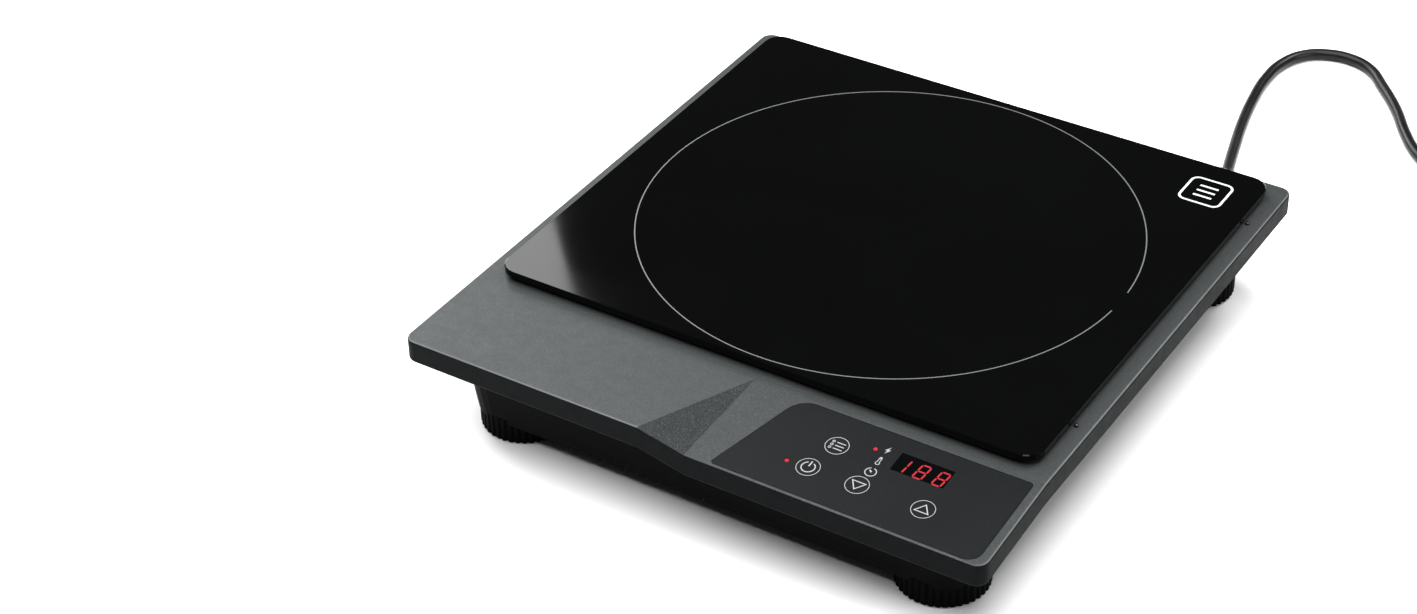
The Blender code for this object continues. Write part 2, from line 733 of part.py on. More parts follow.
def make_coil():
    x, y = ZONE_CENTRE
    inner, outer = COIL_RADII
    carrier = ((0.104, 0.0580), (0.104, 0.0510), (0.0200, 0.0510), (0.0200, 0.0580),
               (0.0222, 0.0580), (0.0222, 0.0540), (0.1018, 0.0540), (0.1018, 0.0580))
    turned("coil_carrier", carrier, 40, material("carrier", (0.75, 0.74, 0.70), 0.6),
           (x, y, 0.0), closed=True)
    winding = ((outer, 0.0614), (outer, 0.0543), (inner, 0.0543), (inner, 0.0614),
               (inner + 0.002, 0.0619), (outer - 0.002, 0.0619))
    turned("induction_coil", winding, 40, material("copper", (0.72, 0.35, 0.18), 0.35, 1.0),
           (x, y, 0.0), closed=True)
    cylinders("mica_sheet", [(x, y, 0.0622, 0.0628, 0.108)],
              material("mica", (0.72, 0.70, 0.62), 0.5), sides=40)
    sensor = ((0.0, 0.0619), (0.0055, 0.0619), (0.0060, 0.0610), (0.0060, 0.0570),
              (0.0090, 0.0560), (0.0090, 0.0513), (0.0, 0.0513))
    turned("temperature_sensor", sensor, 20, material("silicone", (0.8, 0.8, 0.78), 0.5),
           (x, y, 0.0))
    for i in range(4):
        angle = math.radians(45 + 90 * i)
        bar = boxes("ferrite_bar_%d" % (i + 1), [((0.034, -0.007, 0.0), (0.090, 0.007, 0.0034))],
                    material("ferrite", (0.05, 0.05, 0.05), 0.6))
        bar.location = (x, y, 0.0473)
        bar.rotation_euler = (0, 0, angle)
    for i in range(3):
        angle = math.radians(60 + 120 * i)
        px, py = x + POST_RING * math.cos(angle), y + POST_RING * math.sin(angle)
        cylinders("coil_post_%d" % (i + 1), [(px, py, TRAY_FLOOR + GAP, 0.0507, 0.006)],
                  black_rubber(), sides=16)


# ---------------------------------------------------------------- electronics and fan

def make_power_board():
    x0, x1, y0, y1 = BOARD
    top = BOARD_BOTTOM + BOARD_THICKNESS
    board = boxes("power_board", [((x0, y0, BOARD_BOTTOM), (x1, y1, top))], circuit_board())
    angle = math.radians(300)
    post = (ZONE_CENTRE[0] + POST_RING * math.cos(angle),
            ZONE_CENTRE[1] + POST_RING * math.sin(angle))
    combine(board, cylinders("post_hole", [(*post, 0.015, 0.025, 0.0075)]))
    seat = top + GAP
    film = material("film_capacitor", (0.75, 0.55, 0.12), 0.4)
    resonance = boxes("resonance_capacitor", [((0.018, 0.040, seat), (0.058, 0.062, seat + 0.024))],
                      film)
    bevel(resonance, 0.001, 1)
    supply = boxes("filter_capacitor", [((0.018, 0.006, seat), (0.050, 0.022, seat + 0.020))], film)
    bevel(supply, 0.001, 1)
    ring = [(0.016, 0.012), (0.016, 0.0), (0.008, 0.0), (0.008, 0.012)]
    turned("choke", ring, 24, material("enamel_wire", (0.55, 0.25, 0.10), 0.35, 0.8),
           (0.095, 0.020, seat), closed=True)


def make_heatsink():
    """An extruded comb: the plate on top carries the power devices, fins hang below."""
    x0, x1, y0, y1 = HEATSINK
    top = HEATSINK_HEIGHT
    fins, fin = 12, 0.0016
    step = (x1 - x0 - fin) / (fins - 1)
    comb = [(x1, top), (x0, top)]
    for i in range(fins):
        left = x0 + step * i
        comb += [(left, 0.0), (left + fin, 0.0)]
        if i < fins - 1:
            comb += [(left + fin, top - 0.005), (left + step, top - 0.005)]
    sink = plate("heatsink", [comb], -(y1 - y0) / 2, (y1 - y0) / 2, aluminium())
    sink.rotation_euler = (math.pi / 2, 0, 0)
    sink.location = (0, (y0 + y1) / 2, HEATSINK_BOTTOM)
    seat = HEATSINK_BOTTOM + top + GAP
    black = material("component_black", (0.03, 0.03, 0.03), 0.4)
    boxes("power_transistor", [((-0.052, -0.020, seat), (-0.036, 0.001, seat + 0.005))], black)
    boxes("bridge_rectifier", [((-0.060, 0.010, seat), (-0.030, 0.030, seat + 0.005))], black)


def make_fan():
    x, y = FAN_CENTRE
    half = FAN_SIZE / 2
    bottom, top = FAN_BOTTOM, FAN_BOTTOM + FAN_HEIGHT
    square = rounded_box((x - half, x + half, y - half, y + half), 0.004, steps=2)
    frame = plate("fan_frame", [square, circle((x, y), FAN_BORE, 32)], bottom, top,
                  black_plastic())
    reach, slim = FAN_BORE + 0.0012, 0.0022
    arms = [(x + a, y + b) for a, b in (
        (-reach, -slim), (-slim, -slim), (-slim, -reach), (slim, -reach), (slim, -slim),
        (reach, -slim), (reach, slim), (slim, slim), (slim, reach), (-slim, reach),
        (-slim, slim), (-reach, slim))]
    combine(frame, plate("fan_arms", [arms], bottom + 0.0002, bottom + 0.0020), 'UNION')
    seat = [(x, y, bottom + 0.0001, bottom + 0.0022, 0.016)]
    combine(frame, cylinders("motor_seat", seat), 'UNION')
    rotor_shape = bmesh.new()
    add_cylinder(rotor_shape, 0, 0, 0.0, 0.0155, 0.0165, 24)
    rotor = from_bmesh("fan_rotor", rotor_shape, material("fan_black", (0.02, 0.02, 0.02), 0.4),
                       (x, y, bottom + 0.0028))
    blades = bmesh.new()
    for i in range(7):
        add_box(blades, (0.0150, -0.0070, -0.0006), (0.0362, 0.0070, 0.0006))
        new = blades.verts[-8:]
        tilt = Matrix.Rotation(math.radians(38), 4, 'X')
        turn = Matrix.Rotation(math.tau * i / 7, 4, 'Z')
        lift = Matrix.Translation((0, 0, 0.0078))
        bmesh.ops.transform(blades, matrix=turn @ lift @ tilt, verts=new)
    cutter = from_bmesh("fan_blades", blades, place=(x, y, bottom + 0.0028))
    combine(rotor, cutter, 'UNION')


# ---------------------------------------------------------------- mains cord

def make_gland():
    """Strain relief pressed into the rear wall, flanged on both sides of it."""
    x, _, z = CORD_EXIT
    length = CORD_EXIT[1] - GAP - 0.1650
    profile = ((0.0, length), (0.0045, length), (0.0064, 0.0100), (0.0076, 0.0098),
               (0.0076, 0.0078), (0.0049, 0.0078), (0.0049, 0.0036), (0.0076, 0.0036),
               (0.0076, 0.0010), (0.0, 0.0010))
    gland = turned("cord_gland", profile, 20, black_rubber(), (x, 0.1650, z))
    gland.rotation_euler = (-math.pi / 2, 0, 0)


def make_cord():
    finish = material("cord_jacket", (0.012, 0.012, 0.012), 0.35)
    radius = CORD_DIAMETER / 2
    tube("mains_cord", smooth_route(CORD_ROUTE, 2.2 * CORD_DIAMETER), radius, finish)
    tube("mains_cord_tail", smooth_route(TAIL_ROUTE, CORD_DIAMETER), radius, finish)
    make_cord_coil(finish)


def make_cord_coil(finish):
    """The wound part of the cord as one ring, two turns wide and two high, and its tie."""
    inner, outer = COIL_MIDDLE - CORD_DIAMETER, COIL_MIDDLE + CORD_DIAMETER
    low, high = COIL_BOTTOM, COIL_BOTTOM + 2 * CORD_DIAMETER
    cut = 0.002
    profile = ((outer - cut, high), (outer, high - cut), (outer, low + cut), (outer - cut, low),
               (inner + cut, low), (inner, low + cut), (inner, high - cut), (inner + cut, high))
    turned("cord_coil", profile, 32, finish, (*COIL_CENTRE, 0.0), closed=True)
    room = 0.0005
    inside = [(inner - room, low - GAP), (outer + room, low - GAP),
              (outer + room, high + GAP), (inner - room, high + GAP)]
    grow = ((-1, -1), (1, -1), (1, 1), (-1, 1))
    outside = [(x + sx * TIE_THICKNESS, z + sz * TIE_THICKNESS)
               for (x, z), (sx, sz) in zip(inside, grow)]
    tie = plate("cord_tie", [outside, inside], -TIE_WIDTH / 2, TIE_WIDTH / 2,
                material("tie_nylon", (0.03, 0.03, 0.03), 0.6))
    tie.rotation_euler = (math.pi / 2, 0, math.pi / 2)
    tie.location = (COIL_CENTRE[0], COIL_CENTRE[1], 0.0)


def make_plug():
    """Round two-pin earthed plug, lying on its side with its pins along +X."""
    y, z = PLUG_AXIS
    profile = ((0.0, 0.044), (0.0165, 0.044), (0.0188, 0.042), (0.0190, 0.030),
               (0.0165, 0.027), (0.0130, 0.018), (0.0100, 0.011), (0.0060, 0.008),
               (0.0046, 0.0), (0.0, 0.0))
    plug = turned("plug", profile, 24, black_plastic(), (PLUG_START, y, z))
    plug.rotation_euler = (0, math.pi / 2, 0)
    pins = cylinders("plug_pins", [(0.0, side * 0.0095, 0.040, 0.063, 0.0024) for side in (-1, 1)],
                     sides=12)
    pins.rotation_euler = (0, math.pi / 2, 0)
    pins.location = (PLUG_START, y, z)
    combine(plug, pins, 'UNION')


# ---------------------------------------------------------------- assembly

clear_scene()
PARTS = new_collection("induction_hob")
CUTTERS = new_collection("cutters")


def main():
    frame = make_panel_frame()
    make_top_cover(frame)
    make_glass()
    make_glass_screws()
    make_bottom_case()
    make_case_screws()
    make_feet()
    make_foil(frame)
    make_keys(frame)
    make_leds(frame)
    make_control_board(frame)
    make_coil()
    make_power_board()
    make_heatsink()
    make_fan()
    make_gland()
    make_cord()
    make_plug()


main()
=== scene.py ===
"""Looks of the portable induction hob: materials, printing, cord, plug and studio.

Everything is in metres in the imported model's frame: +Z up, the floor at zero, the cord
leaving towards +Y and the tilted key panel at the front right.
"""
import json
import math

import bmesh
import bpy
from mathutils import Matrix, Vector


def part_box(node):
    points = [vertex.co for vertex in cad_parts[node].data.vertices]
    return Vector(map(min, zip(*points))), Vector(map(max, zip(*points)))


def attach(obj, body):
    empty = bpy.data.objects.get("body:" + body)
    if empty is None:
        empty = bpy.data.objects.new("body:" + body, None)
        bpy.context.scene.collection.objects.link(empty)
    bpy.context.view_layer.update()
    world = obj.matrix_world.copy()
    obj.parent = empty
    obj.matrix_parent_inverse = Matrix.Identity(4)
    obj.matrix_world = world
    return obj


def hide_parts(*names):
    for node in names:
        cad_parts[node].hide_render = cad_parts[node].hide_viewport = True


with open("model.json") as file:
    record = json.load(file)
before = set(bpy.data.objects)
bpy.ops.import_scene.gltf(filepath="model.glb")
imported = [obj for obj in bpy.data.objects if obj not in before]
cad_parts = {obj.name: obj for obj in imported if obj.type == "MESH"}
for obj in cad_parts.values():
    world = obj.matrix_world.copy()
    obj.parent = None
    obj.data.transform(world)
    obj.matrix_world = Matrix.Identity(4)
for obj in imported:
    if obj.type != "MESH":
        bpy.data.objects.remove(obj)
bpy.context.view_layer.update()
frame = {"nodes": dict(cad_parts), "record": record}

# The housing's own measures, as in the model
COVER_TOP = 0.061
CREASE_Y = -0.1138
PANEL_ANGLE = math.radians(5.5)
GLASS_TOP = 0.0672
ZONE_CENTRE = (0.0, 0.029)
ZONE_RADIUS = 0.1338
GLASS_MARK = (0.1290, 0.1420)
ZONE_LINE = 0.0006
ZONE_ENDS = (math.radians(3.5), math.radians(355.8))
GLASS_SCREW_X = 0.1570
GLASS_SCREW_Y = {"front": -0.067, "rear": 0.134}
GLASS_SCREW_SHANK = 0.0046

# The ink's thickness, the sides of a turned piece, and where its shading breaks
INK = 0.00006
SIDES = 48
SHARP_EDGE = math.radians(35)
CLOSE = 1e-6
WAVE_SCALE = 0.31416  # a wave texture of this scale has one band per metre

# Panel features, seen from above
KEYS = {
    "key_power": (0.0601, -0.1557),
    "key_function": (0.0649, -0.1367),
    "key_down": (0.0867, -0.1554),
    "key_up": (0.1220, -0.1552),
}
BOLT = (0.0880, -0.1283)
THERMOMETER = (0.0879, -0.1365)
CLOCK = (0.0880, -0.1449)
DIGITS = (0.0992, 0.1095, 0.1198)
DIGITS_Y = -0.1339
KEY_RING, KEY_RING_LINE, KEY_RING_STEPS = 0.00585, 0.00034, 64

# The mains cord's route: out of the gland, down to the floor, round to a stored coil
CORD_DIAMETER = 0.0068
CORD_EXIT = (0.108, 0.1965, 0.0335)
FLOOR_LINE = 0.0036
COIL_CENTRE = (0.240, 0.330)
COIL_OUTER, COIL_INNER = 0.0424, 0.0356
COIL_LOW, COIL_HIGH = 0.0042, 0.0110
COIL_START = math.radians(218.97)
COIL_END, COIL_STEP = 1425, 15
# Where the coil shifts, in degrees turned: inward, upward, outward, and off its top
SHIFT_IN, SHIFT_UP, SHIFT_OUT, SHIFT_OFF = (240, 360), (510, 600), (960, 1080), (1335, 1430)
CORD_ROUTE = (
    CORD_EXIT,
    (0.1080, 0.2015, 0.0335),
    (0.1077, 0.2110, 0.0321),
    (0.1060, 0.2210, 0.0274),
    (0.1032, 0.2325, 0.0185),
    (0.1001, 0.2430, 0.0101),
    (0.0969, 0.2530, 0.0053),
    (0.0937, 0.2635, 0.0040),
    (0.0871, 0.2876, FLOOR_LINE),
    (0.0809, 0.3122, FLOOR_LINE),
    (0.0755, 0.3405, FLOOR_LINE),
    (0.0728, 0.3640, FLOOR_LINE),
    (0.0743, 0.3869, FLOOR_LINE),
    (0.0819, 0.4028, FLOOR_LINE),
    (0.0937, 0.4108, FLOOR_LINE),
    (0.1069, 0.4128, FLOOR_LINE),
    (0.1213, 0.4081, FLOOR_LINE),
    (0.1371, 0.3916, FLOOR_LINE),
    (0.1532, 0.3717, FLOOR_LINE),
    (0.1677, 0.3493, FLOOR_LINE),
    (0.1786, 0.3350, FLOOR_LINE),
    (0.1908, 0.3234, FLOOR_LINE),
)
TAIL_ROUTE = (
    (0.2085, 0.3016, 0.0183),
    (0.2175, 0.2940, 0.0183),
    (0.2283, 0.2892, 0.0183),
    (0.2400, 0.2876, 0.0183),
    (0.2540, 0.2876, 0.0187),
    (0.2680, 0.2876, 0.0193),
    (0.2790, 0.2876, 0.0195),
    (0.2834, 0.2876, 0.0195),
)
PLUG_START = (0.284, 0.2876, 0.0195)
GLAND_BACK = 0.1650

# The camera: its place, its lens, and how it is turned, lifted and rolled, in degrees
CAMERA_PLACE = (0.6082, -1.0791, 0.9222)
CAMERA_LENS, CAMERA_SHIFT = 73.71, -0.003
CAMERA_ANGLES = (33.013, 35.685, -1.303)

# Each lamp: its place, what it aims at, its size and its power
LAMPS = {
    "overhead": ((-0.45, -0.35, 2.0), (-0.45, -0.35, 0.0), (3.0, 2.5), 150.0),
    "left_rear": ((-1.80, 0.98, 1.1), (0.0, 0.0, 0.05), (1.4, 1.1), 46.0),
    "right": ((1.9, 0.2, 0.9), (0.1, 0.0, 0.05), (1.2, 0.8), 19.0),
    "right_rear": ((0.74, 1.75, 1.80), (0.1, 0.0, 0.05), (0.8, 0.6), 34.0),
}


# ---------------------------------------------------------------- small helpers

def link(name, data):
    """Put an object with this data in the scene."""
    obj = bpy.data.objects.new(name, data)
    bpy.context.scene.collection.objects.link(obj)
    return obj


def from_bmesh(name, shape, material, smooth=True):
    """Turn a built shape into an object with one material."""
    mesh = bpy.data.meshes.new(name)
    bmesh.ops.recalc_face_normals(shape, faces=shape.faces)
    shape.to_mesh(mesh)
    shape.free()
    mesh.materials.append(material)
    if smooth:
        mesh.shade_smooth()
        mesh.set_sharp_from_angle(angle=SHARP_EDGE)
    return link(name, mesh)


def arc(centre, radius, start, end, steps):
    """Level points along an arc, both ends included."""
    angles = [start + (end - start) * i / steps for i in range(steps + 1)]
    return [(centre[0] + radius * math.cos(a), centre[1] + radius * math.sin(a)) for a in angles]


def piece(name, shape, material, body, matrix, replaced=()):
    """A finished piece: its mesh, its finish, the body it rides on and the nodes it replaces."""
    bmesh.ops.transform(shape, matrix=matrix, verts=shape.verts)
    obj = from_bmesh(name, shape, material)
    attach(obj, body)
    if replaced:
        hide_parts(*replaced)
    return obj


def lathe(shape, profile, sides=SIDES, matrix=None):
    """Turn a profile of (radius, height) about Z; its ends lie on the axis."""
    rings = []
    for radius, height in profile:
        if radius < CLOSE:
            rings.append([shape.verts.new((0.0, 0.0, height))])
        else:
            rings.append([shape.verts.new((radius * math.cos(math.tau * i / sides),
                                           radius * math.sin(math.tau * i / sides), height))
                          for i in range(sides)])
    for first, second in zip(rings, rings[1:]):
        for i in range(sides):
            j = (i + 1) % sides
            corners = [first[i % len(first)], first[j % len(first)],
                       second[j % len(second)], second[i % len(second)]]
            shape.faces.new(list(dict.fromkeys(corners)))
    if matrix is not None:
        bmesh.ops.transform(shape, matrix=matrix, verts=[v for ring in rings for v in ring])


def skin(shape, pairs):
    """Join each pair of rings of points with faces, all the way round."""
    for first, second in pairs:
        for i in range(len(first)):
            j = (i + 1) % len(first)
            shape.faces.new((first[i], first[j], second[j], second[i]))


def sleeve(shape, profile):
    """A turned sleeve with a bore: the profile closes on itself through the bore."""
    rings = [[shape.verts.new((radius * math.cos(math.tau * i / SIDES),
                               radius * math.sin(math.tau * i / SIDES), height))
              for i in range(SIDES)] for radius, height in profile]
    skin(shape, zip(rings, rings[1:] + rings[:1]))


def ribbon(shape, points, width, closed=False):
    """A thin flat stroke of the given width along level points, with mitred corners."""
    count = len(points)
    rows = []
    for i, point in enumerate(points):
        here = Vector(point)
        before = Vector(points[i - 1]) if closed or i else here
        after = Vector(points[(i + 1) % count]) if closed or i < count - 1 else here
        come, leave = (here - before), (after - here)
        come = come.normalized() if come.length else leave.normalized()
        leave = leave.normalized() if leave.length else come
        side = Vector((-come.y - leave.y, come.x + leave.x)).normalized()
        reach = width / 2 / max(0.35, side.dot(Vector((-come.y, come.x))))
        rows.append([shape.verts.new((*(here + side * reach * s), z))
                     for s, z in ((1, 0.0), (1, INK), (-1, INK), (-1, 0.0))])
    skin(shape, list(zip(rows, rows[1:])) + ([(rows[-1], rows[0])] if closed else []))
    if not closed:
        shape.faces.new(rows[0])
        shape.faces.new(rows[-1])


def patch(shape, outline):
    """A thin flat patch of ink with the given outline."""
    low = [shape.verts.new((x, y, 0.0)) for x, y in outline]
    high = [shape.verts.new((x, y, INK)) for x, y in outline]
    shape.faces.new(low)
    shape.faces.new(high)
    skin(shape, [(low, high)])


def on_panel(x, y):
    """The panel's own frame at a point given from above."""
    panel = Matrix.Translation((0, CREASE_Y, COVER_TOP)) @ Matrix.Rotation(PANEL_ANGLE, 4, 'X')
    return panel @ Matrix.Translation((x, (y - CREASE_Y) / math.cos(PANEL_ANGLE), 0.0))


# ---------------------------------------------------------------- camera

def make_camera():
    """The camera solved on the photo's own edges."""
    camera = bpy.data.cameras.new("camera")
    camera.lens = CAMERA_LENS
    camera.sensor_width = 36.0
    camera.shift_x = CAMERA_SHIFT
    camera.clip_start = 0.05
    turn, lift, roll = (math.radians(v) for v in CAMERA_ANGLES)
    back = Vector((math.sin(turn) * math.cos(lift), -math.cos(turn) * math.cos(lift),
                   math.sin(lift)))
    level = Vector((math.cos(turn), math.sin(turn), 0.0))
    upright = back.cross(level)
    right = level * math.cos(roll) + upright * math.sin(roll)
    up = upright * math.cos(roll) - level * math.sin(roll)
    obj = link("camera", camera)
    turned = Matrix((right, up, back)).transposed()
    obj.matrix_world = Matrix.Translation(CAMERA_PLACE) @ turned.to_4x4()
    bpy.context.scene.camera = obj


# ---------------------------------------------------------------- materials

class Paint:
    """One Principled material, with short ways to add procedural detail to it."""

    def __init__(self, name, colour, roughness, metallic=0.0):
        self.material = bpy.data.materials.new(name)
        self.material.use_nodes = True
        self.tree = self.material.node_tree
        self.shader = self.tree.nodes["Principled BSDF"]
        self.shader.inputs["Base Color"].default_value = (*colour, 1.0)
        self.shader.inputs["Roughness"].default_value = roughness
        self.shader.inputs["Metallic"].default_value = metallic
        self.place = self.tree.nodes.new("ShaderNodeTexCoord").outputs["Object"]

    def join(self, value, socket):
        """Feed a socket from another one, or from a plain value."""
        if isinstance(value, bpy.types.NodeSocket):
            self.tree.links.new(value, socket)
        else:
            socket.default_value = value

    def set(self, name, value):
        """Feed one of the shader's inputs."""
        self.join(value, self.shader.inputs[name])

    def squeeze(self, scale):
        """The place with each axis scaled, for stretched patterns."""
        node = self.tree.nodes.new("ShaderNodeMapping")
        self.join(self.place, node.inputs["Vector"])
        node.inputs["Scale"].default_value = scale
        return node.outputs["Vector"]

    def noise(self, scale, detail=2.0, place=None, distortion=0.0):
        """Clouds of the given scale, from 0 to 1."""
        node = self.tree.nodes.new("ShaderNodeTexNoise")
        self.join(place or self.place, node.inputs["Vector"])
        node.inputs["Scale"].default_value = scale
        node.inputs["Detail"].default_value = detail
        node.inputs["Distortion"].default_value = distortion
        return node.outputs["Fac"]

    def cells(self, scale, output="Color", feature='F1'):
        """Small cells, each with its own colour, or the distance within them."""
        node = self.tree.nodes.new("ShaderNodeTexVoronoi")
        node.feature = feature
        self.join(self.place, node.inputs["Vector"])
        node.inputs["Scale"].default_value = scale
        return node.outputs[output]

    def rings(self, centre, pitch):
        """Round bands about an upright axis, one per pitch."""
        shift = self.tree.nodes.new("ShaderNodeMapping")
        self.join(self.place, shift.inputs["Vector"])
        shift.inputs["Location"].default_value = (-centre[0], -centre[1], 0.0)
        node = self.tree.nodes.new("ShaderNodeTexWave")
        node.wave_type = 'RINGS'
        node.rings_direction = 'Z'
        self.join(shift.outputs["Vector"], node.inputs["Vector"])
        node.inputs["Scale"].default_value = WAVE_SCALE / pitch
        return node.outputs["Fac"]

    def upright(self):
        """How far the surface faces up, from -1 to 1."""
        node = self.tree.nodes.new("ShaderNodeSeparateXYZ")
        place = self.tree.nodes.new("ShaderNodeTexCoord")
        self.join(place.outputs["Normal"], node.inputs["Vector"])
        return node.outputs["Z"]

    def grey(self, colour):
        """One channel of a colour, as a number."""
        node = self.tree.nodes.new("ShaderNodeSeparateColor")
        self.join(colour, node.inputs["Color"])
        return node.outputs["Red"]

    def span(self, value, low, high, to_low, to_high):
        """Map a value's range on to another one, clamped."""
        node = self.tree.nodes.new("ShaderNodeMapRange")
        self.join(value, node.inputs["Value"])
        for name, number in (("From Min", low), ("From Max", high), ("To Min", to_low),
                             ("To Max", to_high)):
            node.inputs[name].default_value = number
        return node.outputs["Result"]

    def blend(self, share, first, second):
        """A mix of two colours: the first at 0, the second at 1."""
        node = self.tree.nodes.new("ShaderNodeMix")
        node.data_type = 'RGBA'
        self.join(share, node.inputs["Factor"])
        for colour, socket in ((first, node.inputs[6]), (second, node.inputs[7])):
            self.join((*colour, 1.0) if isinstance(colour, tuple) else colour, socket)
        return node.outputs[2]

    def math(self, operation, first, second):
        """A sum, product or the like of two values."""
        node = self.tree.nodes.new("ShaderNodeMath")
        node.operation = operation
        self.join(first, node.inputs[0])
        self.join(second, node.inputs[1])
        return node.outputs["Value"]

    def bump(self, height, distance, strength):
        """Add a relief; a second one builds on the first."""
        node = self.tree.nodes.new("ShaderNodeBump")
        node.inputs["Strength"].default_value = strength
        node.inputs["Distance"].default_value = distance
        self.join(height, node.inputs["Height"])
        normal = self.shader.inputs["Normal"]
        if normal.is_linked:
            self.join(normal.links[0].from_socket, node.inputs["Normal"])
        self.join(node.outputs["Normal"], normal)
        return self


def sparkle_paint():
    """Dark grey powder coat: very fine metal flakes of mixed brightness in a satin skin.

    The flakes settle flat, so their metal shows most on faces that point up. The base colour
    carries painted light and shade by facing:
    lightest on level faces, darker on tilted ones, darkest on the side walls, where the flakes are
    dimmed too as painted shade.
    The rounded upper edge carries a painted highlight, a lighter colour.
    """
    paint = Paint("sparkle_paint", (0.020, 0.022, 0.022), 0.50)
    flake = paint.grey(paint.cells(4600.0))
    cloud = paint.noise(160.0, 3.0)
    upright = paint.upright()
    upward = paint.span(upright, 0.3, 0.9, 0.0, 1.0)
    level = paint.span(upright, 0.990, 0.9995, 0.0, 1.0)
    # Painted light and shade by facing: a dark painted shade on the side walls, a darker painted
    # shade on tilted faces, a lighter painted tone on level faces.
    skirt_painted_shade = paint.blend(cloud, (0.0018, 0.0024, 0.0026), (0.0030, 0.0038, 0.0040))
    tilted = paint.blend(cloud, (0.016, 0.018, 0.018), (0.023, 0.025, 0.025))
    flat = paint.blend(cloud, (0.038, 0.041, 0.041), (0.046, 0.050, 0.050))
    base = paint.blend(upward, skirt_painted_shade, paint.blend(level, tilted, flat))
    # Real flake sparkle, with its colour dimmed on the side walls as painted shade.
    flake_sparkle_and_shade = paint.math('MULTIPLY', paint.span(flake, 0.86, 1.0, 0.0, 1.0),
                        paint.span(upward, 0.0, 1.0, 0.08, 1.0))
    base = paint.blend(flake_sparkle_and_shade, base, (0.085, 0.090, 0.090))
    # Painted highlight: a lighter colour on the rounded upper edge, picked out by its facing.
    edge = paint.math('MULTIPLY', paint.span(upright, 0.88, 0.91, 0.0, 1.0),
                      paint.span(upright, 0.94, 0.96, 1.0, 0.0))
    paint.set("Base Color", paint.blend(edge, base, (0.075, 0.078, 0.080)))
    shine = paint.span(flake, 0.5, 1.0, 0.54, 0.72)
    paint.set("Metallic", paint.math('MULTIPLY', shine, upward))
    paint.set("Roughness", paint.span(cloud, 0.3, 0.7, 0.54, 0.46))
    paint.set("Specular IOR Level", 0.03)
    paint.bump(paint.noise(1300.0, 2.0), 0.00005, 0.22)
    return paint.bump(flake, 0.00002, 0.12).material


def cooking_glass():
    """Opaque black glass-ceramic with a faint haze of handling."""
    paint = Paint("cooking_glass", (0.0035, 0.0036, 0.0038), 0.06)
    haze = paint.noise(9.0, 4.0, distortion=0.6)
    paint.set("Roughness", paint.span(haze, 0.35, 0.75, 0.045, 0.085))
    paint.set("Base Color", paint.blend(haze, (0.0008, 0.0008, 0.0009), (0.0014, 0.0015, 0.0015)))
    paint.set("Specular IOR Level", 0.13)
    return paint.bump(paint.noise(60.0, 2.0), 0.00001, 0.05).material


def panel_foil(name="panel_foil"):
    """Reverse-printed membrane with a fine velvet grain."""
    paint = Paint(name, (0.012, 0.013, 0.0135), 0.24)
    paint.set("Specular IOR Level", 0.105)
    grain = paint.noise(3800.0, 2.0)
    cloud = paint.noise(30.0, 2.0)
    paint.set("Base Color", paint.blend(cloud, (0.0045, 0.0052, 0.0056), (0.007, 0.0078, 0.0082)))
    paint.set("Roughness", paint.span(grain, 0.3, 0.7, 0.20, 0.30))
    return paint.bump(grain, 0.00002, 0.15).material


def display_window():
    """Smoked clear window, black where nothing is lit."""
    paint = Paint("display_window", (0.0012, 0.0016, 0.0016), 0.08)
    paint.set("Specular IOR Level", 0.08)
    paint.set("Roughness", paint.span(paint.noise(120.0), 0.3, 0.7, 0.05, 0.11))
    return paint.material


def moulded_black(name, colour, roughness):
    """Spark-textured moulded plastic."""
    paint = Paint(name, colour, roughness)
    paint.set("Specular IOR Level", 0.02)
    texture = paint.noise(1900.0, 3.0)
    cloud = paint.noise(35.0, 3.0)
    light = tuple(c * 1.5 for c in colour)
    paint.set("Base Color", paint.blend(cloud, colour, light))
    paint.set("Roughness", paint.span(texture, 0.3, 0.7, roughness + 0.08, roughness - 0.08))
    return paint.bump(texture, 0.00006, 0.4).material


def rubber(name, colour, roughness):
    """Rubber with a slight dusty bloom."""
    paint = Paint(name, colour, roughness)
    bloom = paint.noise(90.0, 4.0)
    paint.set("Base Color", paint.blend(bloom, colour, tuple(c * 1.7 + 0.002 for c in colour)))
    paint.set("Roughness", paint.span(bloom, 0.3, 0.75, roughness - 0.08, roughness + 0.1))
    return paint.bump(paint.noise(2400.0, 2.0), 0.00005, 0.3).material


def cord_jacket():
    """Black sheathing with slow waves where the cores press through."""
    paint = Paint("cord_jacket", (0.008, 0.008, 0.009), 0.32)
    dust = paint.noise(55.0, 4.0)
    paint.set("Specular IOR Level", 0.16)
    paint.set("Base Color", paint.blend(dust, (0.004, 0.004, 0.0045), (0.009, 0.009, 0.0095)))
    paint.set("Roughness", paint.span(dust, 0.3, 0.7, 0.26, 0.40))
    paint.bump(paint.noise(140.0, 1.0), 0.0004, 0.12)
    return paint.bump(paint.noise(2200.0), 0.00003, 0.2).material


def metal(name, colour, roughness, stretch=(60.0, 1500.0, 1500.0)):
    """Metal with fine marks drawn along one axis."""
    paint = Paint(name, colour, roughness, 1.0)
    streak = paint.noise(1.0, 4.0, paint.squeeze(stretch))
    dark = tuple(c * 0.72 for c in colour)
    paint.set("Base Color", paint.blend(paint.noise(70.0, 3.0), dark, colour))
    paint.set("Roughness", paint.span(streak, 0.3, 0.7, roughness - 0.07, roughness + 0.1))
    return paint.bump(streak, 0.00003, 0.3).material


